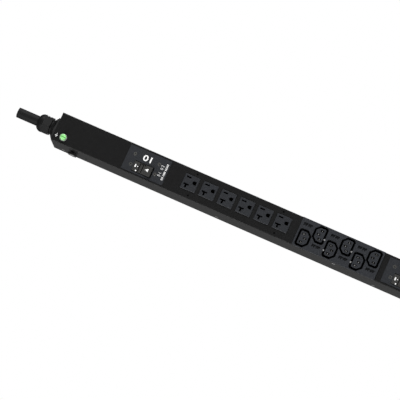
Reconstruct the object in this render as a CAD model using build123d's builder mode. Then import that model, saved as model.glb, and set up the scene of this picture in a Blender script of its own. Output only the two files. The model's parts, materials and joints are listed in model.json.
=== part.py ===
from build123d import *
import math
import os

os.makedirs("parts", exist_ok=True)

# Rack power distribution unit, hung upright in a rack.
# +Z runs along its length towards the cord, the outlets face -Y, and the flat back lies at y = 0.
# z = 0 is the cord end of the housing, and every station below is a distance down from there.

# Housing, folded from sheet
width = 50.0
depth = 58.0
length = 1160.0
sheet = 1.5
bend_radius = 1.2
slip = 0.1  # gap around a piece that slides into another
end_thickness = 2.0
cover_flange = 20.0
tab_length = 26.0
tab_front = 6.0  # how far an end tab stays from the back of the cover
tab_height = 14.0

# Flat head screws of the housing and the breakers
screw_radius = 1.75
screw_head = 3.1
screw_bore = 1.8
cover_screw_reach = 6.0
cover_screw_inset = 12.3
cover_screw_end = 18.0
cover_screws_a_side = 5

# Banks of outlets, as many as the housing holds
bank_start = 125.8
bank_gap = 9.6
tail_room = 60.0

# Breaker plate, flush in the face
plate_length = 74.2
plate_side = 3.3  # strip of the face left on each side of the plate
plate_corner = 1.5
plate_rim = 1.6
plate_proud = 0.3
breaker_middle = 34.3
breaker_screw_spread = 43.5
breaker_pole_pitch = 18.6
breaker_screw_reach = 12.0

# Breaker case and rocker
case_length = 52.0
case_gap = 2.5
case_depth = 40.0
rocker_rim = 2.8
rocker_hole_length = 35.0
rocker_hole_width = 19.0
rocker_width = 16.8
rocker_half = 16.3
rocker_tilt = 5.5
rocker_valley = 8.1
rocker_skirt = 4.0
rocker_hub = 4.5
rocker_hub_half = 6.0
grip_length = 14.2
grip_near = 0.85
grip_far = 6.5
grip_groove = 1.0
grip_depth = 1.2
catch_drop = 1.9
catch_length = 2.4
catch_width = 1.8
catch_depth = 3.0
pocket_depth = 15.0
pin_radius = 1.5
pin_running_gap = 0.05
pin_seat = 1.8

# Outlets with flat blades
outlets_a_bank = 6
outlet_set_off = 27.95  # from the breaker plate to the first outlet
outlet_spacing = 6.7
outlet_length = 26.1
outlet_side = 12.1  # half of what an outlet leaves of the face's width
outlet_gap = 0.35
outlet_x = 1.0
outlet_proud = 1.0
outlet_edge = 0.5
outlet_lip = 2.0
outlet_lip_thickness = 2.0
outlet_depth = 24.0
blade_spacing = 12.7
blade_x = 2.3
blade_z = 5.5
earth_drop = 11.9
blade_slot_length = 8.0
blade_slot_width = 2.7
tee_bar_length = 9.6
tee_stem_width = 3.1
tee_stem_reach = 6.0
earth_hole_radius = 3.2
earth_hole_flat = 3.4
clip_gauge = 0.5
clip_gap = 0.1
clip_set_back = 12.0

# Circuit board behind the outlets of a bank
board_thickness = 1.6
board_side = 1.5
board_margin = 3.0
standoff_side = 1.3
standoff_inset = 5.0
standoff_stub = 1.6
standoff_sink = 0.6
standoff_radius = 3.0
board_screw_radius = 1.4
board_screw_head = 2.6
board_screw_head_height = 1.8
board_screw_reach = 8.0

# Moulded block of coupler outlets
block_set_off = 14.75  # from the last outlet to the block
block_proud = 1.6
block_edge = 0.4
block_rim = 3.0
block_depth = 28.0
couplers_a_row = 3
coupler_first = 14.0
coupler_pitch = 47.65
coupler_stagger = 21.8
coupler_side = 2.3  # from a well's end to the side of the block
groove_length = 29.4
groove_width = 21.2
groove_chamfer = 7.5
groove_corner = 4.5
groove_depth = 17.0
island_length = 22.4
island_width = 15.0
island_chamfer = 5.0
island_corner = 2.0
coupler_pin_spread = 14.0
coupler_pin_offset = 2.0
coupler_slot_length = 5.6
coupler_slot_width = 3.2
coupler_clip_gap = 0.5
coupler_clip_set_back = 1.2
block_back = 2.0
block_screw_drop = 74.7
block_screw_inset = 10.0
block_screw_reach = 5.5
rivet_radius = 0.9
rivet_head = 1.3
rivet_head_height = 0.8
rivet_sink = 0.9
rivet_well = 1.4
rivet_boss = 1.9
rivet_off_centre = 10.4
rivet_drop = 4.8

# Cord gland on the end plate
gland_thread = 12.5
gland_bore = 9.1
gland_reach = 9.0
flange_corner = 19.0
flange_height = 6.2
neck_radius = 12.0
neck_start = 11.5
neck_top = 26.0
lock_nut_corner = 17.3
lock_nut_height = 5.0
nut_start = 13.7
nut_corner = 17.0
nut_hex_height = 13.6
nut_top = 36.9
nut_mouth = 10.6
nut_shoulder = 15.4
nut_dome = 10.1
nut_chamfer = 1.0
nut_turn = 17.0
nut_thread_gap = 0.3
seal_wall = 2.2
seal_start = 18.0
seal_top = 31.0

# Cord, cut off square above the gland
cord_radius = 8.75
cord_top = 74.8
cord_tail = 24.0
core_radius = 2.3
conductor_radius = 1.4
core_spread = 6.6
core_gap = 0.05

# Terminal block where the cord ends
terminal_top = 38.0
terminal_length = 28.0
terminal_width = 36.0
terminal_depth = 42.0
terminal_entry = 16.0
terminal_screw_radius = 2.0
terminal_screw_head = 3.2
terminal_screw_head_height = 2.0
terminal_screw_drop = 11.0

# Earth stud on the face
stud_x = -13.9
stud_drop = 18.0
stud_radius = 2.5
stud_bore = 2.7
stud_head = 5.0
stud_head_height = 3.6
stud_head_round = 1.2
stud_slot_width = 1.2
stud_slot_depth = 1.4
stud_reach = 11.0
washer_radius = 6.3
washer_thickness = 1.1
stud_nut_corner = 4.6
stud_nut_height = 4.0

# Mounting buttons on one side
button_drop = 38.5
button_head = 8.2
button_head_height = 3.5
button_neck = 4.8
button_neck_height = 2.0
button_round = 0.6
button_screw_radius = 2.0
button_screw_head = 4.3
button_screw_sink = 0.8
button_nut_corner = 4.0
button_nut_height = 3.0
locating_hole = 1.8  # beside the upper button
locating_drop = 22.5
locating_inset = 20.0

# Tapped inserts in the back for brackets
insert_bore = 2.0
insert_radius = 3.2
insert_length = 6.0
insert_spread = 28.0
insert_end = 30.0

# Wiring loom and its clips
loom_radius = 4.5
loom_set_in = 8.0
branch_radius = 2.5
clip_width = 8.0
clip_band = 1.5
clip_foot = 14.0
clip_clearance = 15.0  # along the loom, past a breaker plate and before the couplers

# Places worked out from the sizes
inside = width / 2 - sheet
axis_y = -depth / 2
gland_axis = Axis((0, axis_y, 0), (0, 0, 1))
plate_width = width - 2 * plate_side
case_width = 2 * (inside - case_gap)
rocker_x = rocker_rim + rocker_hole_width / 2 - plate_width / 2
outlet_width = width - 2 * outlet_side
outlet_pitch = outlet_length + outlet_spacing
outlet_first = plate_length + outlet_set_off + outlet_length / 2
block_start = outlet_first + (outlets_a_bank - 1) * outlet_pitch + outlet_length / 2 + block_set_off
block_length = 2 * coupler_first + coupler_stagger + (couplers_a_row - 1) * coupler_pitch
coupler_row_offset = (width - groove_length) / 2 - coupler_side
bank_pitch = block_start + block_length + bank_gap
banks = int((length - bank_start - tail_room) // bank_pitch)
bank_stations = [bank_start + n * bank_pitch for n in range(banks)]
cover_screw_pitch = (length - 2 * cover_screw_end) / (cover_screws_a_side - 1)
cover_screw_stations = [cover_screw_end + n * cover_screw_pitch for n in range(cover_screws_a_side)]
outlet_stations = [outlet_first + n * outlet_pitch for n in range(outlets_a_bank)]
outlet_back = depth - sheet - outlet_depth
earth_clip = math.sqrt(2) * (earth_hole_radius - clip_gap)
board_length = (outlets_a_bank - 1) * outlet_pitch + outlet_length + 2 * board_margin
board_width = 2 * (inside - board_side)
board_centre = (outlet_stations[0] + outlet_stations[-1]) / 2
standoff_pitch_x = 2 * (inside - standoff_side - standoff_radius)
standoff_pitch_z = (outlets_a_bank - 1) * outlet_pitch - 2 * standoff_inset
block_middle = block_start + block_length / 2
block_body = block_length - 2 * block_rim
block_rear = depth - block_depth
case_front = depth - sheet - plate_rim
case_rear = case_front - case_depth
pivot_out = depth + plate_proud - rocker_valley
button_stations = (button_drop, length - button_drop)
block_screw_level = depth - block_screw_inset
block_screw_stations = [start + block_start + block_screw_drop for start in bank_stations]
core_places = [(sx * core_spread / 2, axis_y + sy * core_spread / 2) for sx in (-1, 1) for sy in (-1, 1)]
clip_gaps = (plate_length + clip_clearance, block_start - clip_clearance)
clip_stations = [start + gap for start in bank_stations for gap in clip_gaps]

# Each row of couplers: side of the middle, where it begins, and the turn that faces its flat side
lower_row = (-1, coupler_first, 0)
upper_row = (1, coupler_first + coupler_stagger, 180)


def side_plane(hand, out):
    """Plane on one side of the housing, facing away from it, whose x runs along hand times Y."""
    return Plane(origin=(hand * out, 0, 0), x_dir=(0, hand, 0), z_dir=(hand, 0, 0))


def coupler_places(start):
    """Centre (x, z) and turn of each coupler outlet in the bank that begins at start."""
    places = []
    for side, first, turn in (lower_row, upper_row):
        for n in range(couplers_a_row):
            station = start + block_start + first + n * coupler_pitch
            places.append((side * coupler_row_offset, -station, turn))
    return places


def rivet_places(start):
    """The rivets stand beside the flat sides that face each other in the middle of the block."""
    places = []
    for x, z, turn in coupler_places(start):
        side_z = z + math.cos(math.radians(turn)) * rivet_off_centre
        middle = -(start + block_middle)
        if abs(side_z - middle) < coupler_pitch:
            places.append((x - rivet_drop, side_z))
    return places


def hexagon_trim(corner, turn=0.0):
    """What a round bar loses when it is milled to a hexagon around the gland's axis."""
    with Locations((0, axis_y)):
        Circle(2 * corner)
        RegularPolygon(corner, 6, rotation=turn, mode=Mode.SUBTRACT)


# Outline of a coupler's well, of the island in it and of its three slots, flat side up
with BuildSketch() as well_outline:
    Rectangle(groove_length, groove_width)
    chamfer(well_outline.vertices().group_by(Axis.Y)[0], groove_chamfer)
    fillet(well_outline.vertices().group_by(Axis.Y)[-1], groove_corner)
with BuildSketch() as island_outline:
    Rectangle(island_length, island_width)
    chamfer(island_outline.vertices().group_by(Axis.Y)[0], island_chamfer)
    fillet(island_outline.vertices().group_by(Axis.Y)[-1], island_corner)
with BuildSketch() as slot_pattern:
    with Locations((0, -coupler_pin_offset)):
        Rectangle(coupler_slot_width, coupler_slot_length)
    with Locations((0, coupler_pin_offset)):
        with GridLocations(coupler_pin_spread, 1, 2, 1):
            Rectangle(coupler_slot_width, coupler_slot_length)
with BuildSketch() as clip_pattern:
    offset(slot_pattern.sketch, -coupler_clip_gap, kind=Kind.INTERSECTION)
    offset(slot_pattern.sketch, -coupler_clip_gap - clip_gauge, kind=Kind.INTERSECTION, mode=Mode.SUBTRACT)

# Folded channel that makes the face and both sides
with BuildPart() as front_channel:
    with BuildSketch(Plane.XY) as channel_section:
        with Locations((0, -depth / 2)):
            Rectangle(width, depth)
        fillet(channel_section.vertices().group_by(Axis.Y)[0], bend_radius)
        with Locations((0, -(depth - sheet) / 2)):
            Rectangle(width - 2 * sheet, depth - sheet, mode=Mode.SUBTRACT)
    extrude(amount=-length)
    for start in bank_stations:
        with BuildSketch(Plane.XZ.offset(depth)):
            with Locations((0, -(start + plate_length / 2))):
                RectangleRounded(plate_width, plate_length, plate_corner)
            with Locations(*[(outlet_x, -(start + station)) for station in outlet_stations]):
                Rectangle(outlet_width + 2 * outlet_gap, outlet_length + 2 * outlet_gap)
            with Locations((0, -(start + block_middle))):
                Rectangle(width - 2 * sheet, block_body + 2 * slip)
            with Locations((0, -(start + board_centre))):
                with GridLocations(standoff_pitch_x, standoff_pitch_z, 2, 2):
                    Circle(standoff_stub)
        extrude(amount=-2 * sheet, mode=Mode.SUBTRACT)
    with BuildSketch(Plane.XZ.offset(depth)):
        with Locations((stud_x, -stud_drop)):
            Circle(stud_bore)
    extrude(amount=-2 * sheet, mode=Mode.SUBTRACT)
    for hand in (-1, 1):
        with Locations(side_plane(hand, width / 2)):
            with Locations(*[(-hand * cover_screw_inset, -station) for station in cover_screw_stations]):
                CounterSinkHole(screw_bore, screw_head, depth=2 * sheet, counter_sink_angle=90)
            with Locations(*[(-hand * block_screw_level, -station) for station in block_screw_stations]):
                CounterSinkHole(screw_bore, screw_head, depth=2 * sheet, counter_sink_angle=90)
    with Locations(side_plane(-1, width / 2)):
        with Locations(*[(-axis_y, -station) for station in button_stations]):
            Hole(button_screw_radius + slip, depth=2 * sheet)
        with Locations((locating_inset, -(button_drop + locating_drop))):
            Hole(locating_hole, depth=2 * sheet)
front_channel.part.label = "front_channel"
export_step(front_channel.part, "parts/front_channel.step")

# Cover that closes the back, with its flanges inside the channel
with BuildPart() as rear_cover:
    with BuildSketch(Plane.XY.offset(-end_thickness - slip)) as cover_section:
        with Locations((0, -cover_flange / 2)):
            Rectangle(2 * (inside - slip), cover_flange)
        fillet(cover_section.vertices().group_by(Axis.Y)[-1], bend_radius)
        with Locations((0, -(cover_flange + sheet) / 2)):
            Rectangle(2 * (inside - slip - sheet), cover_flange - sheet, mode=Mode.SUBTRACT)
    extrude(amount=-(length - 2 * (end_thickness + slip)))
    for hand in (-1, 1):
        with Locations(side_plane(hand, inside)):
            with Locations(*[(-hand * cover_screw_inset, -station) for station in cover_screw_stations]):
                Hole(screw_bore, depth=3 * sheet)
    with Locations(Plane.XZ.offset(sheet)):
        with Locations((0, -length / 2)):
            with GridLocations(insert_spread, length - 2 * insert_end, 2, 2):
                Hole(insert_radius, depth=2 * sheet)
rear_cover.part.label = "rear_cover"
export_step(rear_cover.part, "parts/rear_cover.step")


# End plates, with two tabs each that the first cover screws pass through; one carries the gland
for name, top, inward in (("inlet", 0, -1), ("tail", end_thickness - length, 1)):
    tab_root = top if inward > 0 else top - end_thickness
    tab_out = inside - 2 * slip - sheet
    screw_z = tab_root + inward * (cover_screw_end - end_thickness)
    with BuildPart() as end_plate:
        with BuildSketch(Plane.XY.offset(top)):
            with Locations((0, -(depth - sheet - slip) / 2)):
                Rectangle(2 * (inside - slip), depth - sheet - slip)
            if name == "inlet":
                with Locations((0, axis_y)):
                    Circle(gland_thread + slip, mode=Mode.SUBTRACT)
        extrude(amount=-end_thickness)
        with BuildSketch(Plane.XY.offset(tab_root)):
            for hand in (-1, 1):
                with Locations((hand * (tab_out - sheet / 2), -tab_front - tab_height / 2)):
                    Rectangle(sheet, tab_height)
        extrude(amount=inward * (tab_length - end_thickness))
        for hand in (-1, 1):
            with Locations(side_plane(hand, tab_out)):
                with Locations((-hand * cover_screw_inset, screw_z)):
                    Hole(screw_bore, depth=2 * sheet)
    end_plate.part.label = f"{name}_end_plate"
    export_step(end_plate.part, f"parts/{name}_end_plate.step")

# Screws through the sides into the cover
downward = (Align.CENTER, Align.CENTER, Align.MAX)
upward = (Align.CENTER, Align.CENTER, Align.MIN)
with BuildPart() as cover_screws:
    for hand in (-1, 1):
        with Locations(side_plane(hand, width / 2)):
            with Locations(*[(-hand * cover_screw_inset, -station) for station in cover_screw_stations]):
                Cylinder(screw_radius, cover_screw_reach, align=downward)
                Cone(screw_radius, screw_head, screw_head - screw_radius, align=downward)
cover_screws.part.label = "cover_screws"
export_step(cover_screws.part, "parts/cover_screws.step")

# Buttons that hang the unit in the keyholes of a rack, one near each end of the side
for name, station in zip(("upper", "lower"), button_stations):
    with BuildPart() as mounting_button:
        with BuildSketch(Plane.XZ.offset(-axis_y)):
            with BuildLine():
                Polyline(
                    (-width / 2, -station),
                    (-width / 2, -station + button_neck),
                    (-width / 2 - button_neck_height, -station + button_neck),
                    (-width / 2 - button_neck_height, -station + button_head),
                    (-width / 2 - button_neck_height - button_head_height, -station + button_head),
                    (-width / 2 - button_neck_height - button_head_height, -station),
                    close=True,
                )
            make_face()
        revolve(axis=Axis((0, axis_y, -station), (1, 0, 0)))
        rim = mounting_button.edges().filter_by(GeomType.CIRCLE).group_by(Axis.X)[0]
        fillet(rim, button_round)
        with Locations(side_plane(-1, width / 2 + button_neck_height + button_head_height)):
            with Locations((-axis_y, -station)):
                CounterBoreHole(
                    button_screw_radius + slip,
                    button_screw_head + slip,
                    button_screw_sink,
                    depth=button_neck_height + button_head_height,
                )
    mounting_button.part.label = f"mounting_button_{name}"
    export_step(mounting_button.part, f"parts/mounting_button_{name}.step")

with BuildPart() as button_screws:
    seat = width / 2 + button_neck_height + button_head_height - button_screw_sink
    reach = seat - inside + button_nut_height + sheet
    with Locations(side_plane(-1, seat)):
        with Locations(*[(-axis_y, -station) for station in button_stations]):
            Cylinder(button_screw_head, button_screw_sink, align=upward)
            Cylinder(button_screw_radius, reach, align=downward)
button_screws.part.label = "button_screws"
export_step(button_screws.part, "parts/button_screws.step")

with BuildPart() as button_nuts:
    with BuildSketch(side_plane(-1, inside)):
        with Locations(*[(-axis_y, -station) for station in button_stations]):
            RegularPolygon(button_nut_corner, 6)
            Circle(button_screw_radius + slip / 2, mode=Mode.SUBTRACT)
    extrude(amount=-button_nut_height)
button_nuts.part.label = "button_nuts"
export_step(button_nuts.part, "parts/button_nuts.step")

# Tapped inserts in the cover, where brackets bolt on
with BuildPart() as bracket_inserts:
    with BuildSketch(Plane.XZ):
        with Locations((0, -length / 2)):
            with GridLocations(insert_spread, length - 2 * insert_end, 2, 2):
                Circle(insert_radius)
                Circle(insert_bore, mode=Mode.SUBTRACT)
    extrude(amount=insert_length)
bracket_inserts.part.label = "bracket_inserts"
export_step(bracket_inserts.part, "parts/bracket_inserts.step")

# Cord gland: body, lock nut, seal and domed cap nut around the cord
with BuildPart() as gland_body:
    with BuildSketch(Plane.XZ.offset(-axis_y)):
        with BuildLine():
            Polyline(
                (gland_bore, -gland_reach),
                (gland_thread, -gland_reach),
                (gland_thread, 0),
                (flange_corner, 0),
                (flange_corner, flange_height),
                (neck_radius, neck_start),
                (neck_radius, neck_top),
                (cord_radius + seal_wall, neck_top),
                (cord_radius + seal_wall, seal_start),
                (gland_bore, seal_start),
                close=True,
            )
        make_face()
    revolve(axis=gland_axis)
    with BuildSketch(Plane.XY):
        hexagon_trim(flange_corner, nut_turn)
    extrude(amount=flange_height, mode=Mode.SUBTRACT)
gland_body.part.label = "gland_body"
export_step(gland_body.part, "parts/gland_body.step")

with BuildPart() as gland_lock_nut:
    with BuildSketch(Plane.XY.offset(-end_thickness)):
        with Locations((0, axis_y)):
            RegularPolygon(lock_nut_corner, 6)
            Circle(gland_thread, mode=Mode.SUBTRACT)
    extrude(amount=-lock_nut_height)
gland_lock_nut.part.label = "gland_lock_nut"
export_step(gland_lock_nut.part, "parts/gland_lock_nut.step")

with BuildPart() as gland_seal:
    with BuildSketch(Plane.XY.offset(seal_start)):
        with Locations((0, axis_y)):
            Circle(cord_radius + seal_wall)
            Circle(cord_radius, mode=Mode.SUBTRACT)
    extrude(amount=seal_top - seal_start)
gland_seal.part.label = "gland_seal"
export_step(gland_seal.part, "parts/gland_seal.step")

with BuildPart() as gland_cap_nut:
    hex_top = nut_start + nut_hex_height
    inner = neck_radius + nut_thread_gap
    with BuildSketch(Plane.XZ.offset(-axis_y)):
        with BuildLine():
            Polyline(
                (nut_mouth, nut_top),
                (cord_radius + nut_thread_gap, nut_top),
                (cord_radius + nut_thread_gap, seal_top),
                (cord_radius + seal_wall + nut_thread_gap, seal_top),
                (inner, seal_top - seal_wall),
                (inner, nut_start),
                (nut_corner - nut_chamfer, nut_start),
                (nut_corner, nut_start + nut_chamfer),
                (nut_corner, hex_top - nut_chamfer),
                (nut_corner - nut_chamfer, hex_top),
                (nut_shoulder, hex_top),
            )
            RadiusArc((nut_shoulder, hex_top), (nut_mouth, nut_top), -nut_dome)
        make_face()
    revolve(axis=gland_axis)
    with BuildSketch(Plane.XY.offset(nut_start)):
        hexagon_trim(nut_corner, nut_turn)
    extrude(amount=nut_hex_height, mode=Mode.SUBTRACT)
gland_cap_nut.part.label = "gland_cap_nut"
export_step(gland_cap_nut.part, "parts/gland_cap_nut.step")

# Cord with four cores, cut square outside and stripped inside the housing
with BuildPart() as cord_sheath:
    with BuildSketch(Plane.XY.offset(cord_top)):
        with Locations((0, axis_y)):
            Circle(cord_radius)
        with Locations(*core_places):
            Circle(core_radius + core_gap, mode=Mode.SUBTRACT)
    extrude(amount=-(cord_top + cord_tail))
cord_sheath.part.label = "cord_sheath"
export_step(cord_sheath.part, "parts/cord_sheath.step")

with BuildPart() as cord_cores:
    with BuildSketch(Plane.XY.offset(cord_top)):
        with Locations(*core_places):
            Circle(core_radius)
            Circle(conductor_radius, mode=Mode.SUBTRACT)
    extrude(amount=-(cord_top + terminal_top))
cord_cores.part.label = "cord_cores"
export_step(cord_cores.part, "parts/cord_cores.step")

with BuildPart() as cord_conductors:
    with BuildSketch(Plane.XY.offset(cord_top)):
        with Locations(*core_places):
            Circle(conductor_radius)
    extrude(amount=-(cord_top + terminal_top + terminal_entry))
cord_conductors.part.label = "cord_conductors"
export_step(cord_conductors.part, "parts/cord_conductors.step")

# Terminal block, standing on the cover, and its clamping screws
with BuildPart() as terminal_block:
    with BuildSketch(Plane.XY.offset(-terminal_top)):
        with Locations((0, -sheet - terminal_depth / 2)):
            Rectangle(terminal_width, terminal_depth)
    extrude(amount=-terminal_length)
    with BuildSketch(Plane.XY.offset(-terminal_top)):
        with Locations(*core_places):
            Circle(conductor_radius + core_gap)
    extrude(amount=-terminal_entry, mode=Mode.SUBTRACT)
    for hand in (-1, 1):
        with Locations(side_plane(hand, terminal_width / 2)):
            with Locations(*[(hand * y, -terminal_top - terminal_screw_drop) for x, y in core_places[:2]]):
                CounterBoreHole(
                    terminal_screw_radius + core_gap,
                    terminal_screw_head + core_gap,
                    terminal_screw_head_height,
                    depth=terminal_width / 2 - core_spread / 2 - conductor_radius,
                )
terminal_block.part.label = "terminal_block"
export_step(terminal_block.part, "parts/terminal_block.step")

with BuildPart() as terminal_screws:
    clamp = terminal_width / 2 - core_spread / 2 - conductor_radius
    for hand in (-1, 1):
        with Locations(side_plane(hand, terminal_width / 2)):
            with Locations(*[(hand * y, -terminal_top - terminal_screw_drop) for x, y in core_places[:2]]):
                Cylinder(terminal_screw_head, terminal_screw_head_height, align=downward)
                Cylinder(terminal_screw_radius, clamp, align=downward)
terminal_screws.part.label = "terminal_screws"
export_step(terminal_screws.part, "parts/terminal_screws.step")

# Earth stud on the face: slotted screw, washer and the nut behind
with BuildPart() as earth_screw:
    with BuildSketch(Plane.XZ.offset(depth + washer_thickness)):
        with Locations((stud_x, -stud_drop)):
            Circle(stud_head)
    extrude(amount=stud_head_height)
    fillet(earth_screw.edges().group_by(Axis.Y)[0], stud_head_round)
    with BuildSketch(Plane.XZ.offset(depth + washer_thickness + stud_head_height)):
        with Locations((stud_x, -stud_drop)):
            Rectangle(stud_slot_width, 2 * stud_head)
    extrude(amount=-stud_slot_depth, mode=Mode.SUBTRACT)
    with BuildSketch(Plane.XZ.offset(depth + washer_thickness)):
        with Locations((stud_x, -stud_drop)):
            Circle(stud_radius)
    extrude(amount=-stud_reach)
earth_screw.part.label = "earth_screw"
export_step(earth_screw.part, "parts/earth_screw.step")

with BuildPart() as earth_washer:
    with BuildSketch(Plane.XZ.offset(depth)):
        with Locations((stud_x, -stud_drop)):
            Circle(washer_radius)
            Circle(stud_bore, mode=Mode.SUBTRACT)
    extrude(amount=washer_thickness)
earth_washer.part.label = "earth_washer"
export_step(earth_washer.part, "parts/earth_washer.step")

with BuildPart() as earth_nut:
    with BuildSketch(Plane.XZ.offset(depth - sheet)):
        with Locations((stud_x, -stud_drop)):
            RegularPolygon(stud_nut_corner, 6)
            Circle(stud_radius + slip / 2, mode=Mode.SUBTRACT)
    extrude(amount=-stud_nut_height)
earth_nut.part.label = "earth_nut"
export_step(earth_nut.part, "parts/earth_nut.step")

# Each bank: a two-pole breaker, a row of blade outlets on a board, and a block of couplers
for bank, start in enumerate(bank_stations, start=1):
    breaker_z = -(start + breaker_middle)
    with BuildPart() as breaker_plate:
        with BuildSketch(Plane.XZ.offset(depth - sheet)):
            with Locations((0, -(start + plate_length / 2))):
                RectangleRounded(plate_width - 2 * slip, plate_length - 2 * slip, plate_corner)
        extrude(amount=sheet + plate_proud)
        with BuildSketch(Plane.XZ.offset(depth - sheet)):
            with Locations((0, -(start + plate_length / 2))):
                Rectangle(2 * (inside - slip), plate_length + 2 * plate_rim)
        extrude(amount=-plate_rim)
        with BuildSketch(Plane.XZ.offset(depth + plate_proud)):
            with Locations((rocker_x, breaker_z)):
                Rectangle(rocker_hole_width, rocker_hole_length)
        extrude(amount=-2 * (sheet + plate_rim), mode=Mode.SUBTRACT)
        with Locations(Plane.XZ.offset(depth + plate_proud)):
            with Locations((0, breaker_z)):
                with GridLocations(breaker_pole_pitch, breaker_screw_spread, 2, 2):
                    CounterSinkHole(
                        screw_bore,
                        screw_head,
                        depth=2 * (sheet + plate_rim),
                        counter_sink_angle=90,
                    )
    breaker_plate.part.label = f"breaker_plate_{bank}"
    export_step(breaker_plate.part, f"parts/breaker_plate_{bank}.step")

    with BuildPart() as breaker_case:
        with BuildSketch(Plane.XZ.offset(case_front)):
            with Locations((0, breaker_z)):
                Rectangle(case_width, case_length)
        extrude(amount=-case_depth)
        with BuildSketch(Plane.XZ.offset(case_front)):
            with Locations((rocker_x, breaker_z)):
                Rectangle(rocker_hole_width, rocker_hole_length)
        extrude(amount=-pocket_depth, mode=Mode.SUBTRACT)
        with BuildSketch(Plane.XZ.offset(case_front)):
            with Locations((0, breaker_z)):
                with GridLocations(breaker_pole_pitch, breaker_screw_spread, 2, 2):
                    Circle(screw_bore)
        extrude(amount=-breaker_screw_reach, mode=Mode.SUBTRACT)
        with BuildSketch(Plane.YZ.offset(rocker_x)):
            with Locations((-pivot_out, breaker_z)):
                Circle(pin_radius)
        extrude(amount=rocker_hole_width / 2 + pin_seat, both=True, mode=Mode.SUBTRACT)
    breaker_case.part.label = f"breaker_case_{bank}"
    export_step(breaker_case.part, f"parts/breaker_case_{bank}.step")

    with BuildPart() as breaker_pivot:
        with BuildSketch(Plane.YZ.offset(rocker_x)):
            with Locations((-pivot_out, breaker_z)):
                Circle(pin_radius)
        extrude(amount=rocker_hole_width / 2 + pin_seat, both=True)
    breaker_pivot.part.label = f"breaker_pivot_{bank}"
    export_step(breaker_pivot.part, f"parts/breaker_pivot_{bank}.step")

    tilted = Plane(
        origin=(rocker_x, -pivot_out, breaker_z),
        x_dir=Vector(0, 0, 1).rotate(Axis.X, -rocker_tilt),
        z_dir=(1, 0, 0),
    )
    rocker_end = rocker_valley + rocker_half * math.tan(math.radians(rocker_tilt))
    with BuildPart() as breaker_rocker:
        with BuildSketch(tilted):
            with BuildLine():
                Polyline(
                    (0, rocker_valley),
                    (rocker_half, rocker_end),
                    (rocker_half, rocker_end - rocker_skirt),
                    (rocker_hub_half, -rocker_hub),
                    (-rocker_hub_half, -rocker_hub),
                    (-rocker_half, rocker_end - rocker_skirt),
                    (-rocker_half, rocker_end),
                    close=True,
                )
            make_face()
            Circle(pin_radius + pin_running_gap, mode=Mode.SUBTRACT)
        extrude(amount=rocker_width / 2, both=True)
        with BuildSketch(Plane.XZ.offset(pivot_out + rocker_valley + grip_depth)):
            with Locations((rocker_x, breaker_z)):
                with Locations((0, grip_near), (0, grip_far)):
                    Rectangle(grip_length, grip_groove)
                with Locations((grip_length / 2, (grip_far - catch_drop) / 2)):
                    Rectangle(grip_groove, grip_far + catch_drop + grip_groove)
        extrude(amount=-2 * grip_depth, mode=Mode.SUBTRACT)
        with BuildSketch(Plane.XZ.offset(pivot_out + rocker_valley + grip_depth)):
            with Locations((rocker_x + grip_length / 2, breaker_z - catch_drop)):
                Rectangle(catch_width, catch_length)
        extrude(amount=-grip_depth - catch_depth, mode=Mode.SUBTRACT)
    breaker_rocker.part.label = f"breaker_rocker_{bank}"
    export_step(breaker_rocker.part, f"parts/breaker_rocker_{bank}.step")

    with BuildPart() as outlet_board:
        with BuildSketch(Plane.XZ.offset(outlet_back)):
            with Locations((0, -(start + board_centre))):
                Rectangle(board_width, board_length)
            with Locations((0, -(start + board_centre))):
                with GridLocations(standoff_pitch_x, standoff_pitch_z, 2, 2):
                    Circle(board_screw_radius + slip, mode=Mode.SUBTRACT)
        extrude(amount=-board_thickness)
    outlet_board.part.label = f"outlet_board_{bank}"
    export_step(outlet_board.part, f"parts/outlet_board_{bank}.step")

    for n, station in enumerate(outlet_stations, start=1):
        number = (bank - 1) * outlets_a_bank + n
        centre = -(start + station)
        with BuildPart() as outlet:
            with BuildSketch(Plane.XZ.offset(depth - sheet)):
                with Locations((outlet_x, centre)):
                    Rectangle(outlet_width, outlet_length)
            extrude(amount=sheet + outlet_proud)
            chamfer(outlet.edges().group_by(Axis.Y)[0], outlet_edge)
            with BuildSketch(Plane.XZ.offset(depth - sheet)):
                with Locations((outlet_x, centre)):
                    Rectangle(outlet_width + 2 * outlet_lip, outlet_length + 2 * outlet_lip)
            extrude(amount=-outlet_lip_thickness)
            with BuildSketch(Plane.XZ.offset(depth - sheet)):
                with Locations((outlet_x, centre)):
                    Rectangle(outlet_width, outlet_length)
            extrude(amount=-outlet_depth)
            with BuildSketch(Plane.XZ.offset(depth + outlet_proud)):
                with Locations((outlet_x + blade_x, centre + blade_z)):
                    with Locations((blade_spacing / 2, 0)):
                        Rectangle(blade_slot_width, blade_slot_length)
                    with Locations((-blade_spacing / 2, 0)):
                        Rectangle(blade_slot_width, tee_bar_length)
                    with Locations((-blade_spacing / 2 - tee_stem_reach / 2, 0)):
                        Rectangle(tee_stem_reach, tee_stem_width)
                with Locations((outlet_x + blade_x, centre + blade_z - earth_drop)):
                    Circle(earth_hole_radius)
                    with Locations((0, -earth_hole_flat / 2)):
                        Rectangle(2 * earth_hole_radius, earth_hole_flat)
            extrude(amount=-2 * outlet_depth, mode=Mode.SUBTRACT)
        outlet.part.label = f"outlet_{number:02d}"
        export_step(outlet.part, f"parts/outlet_{number:02d}.step")

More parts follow.
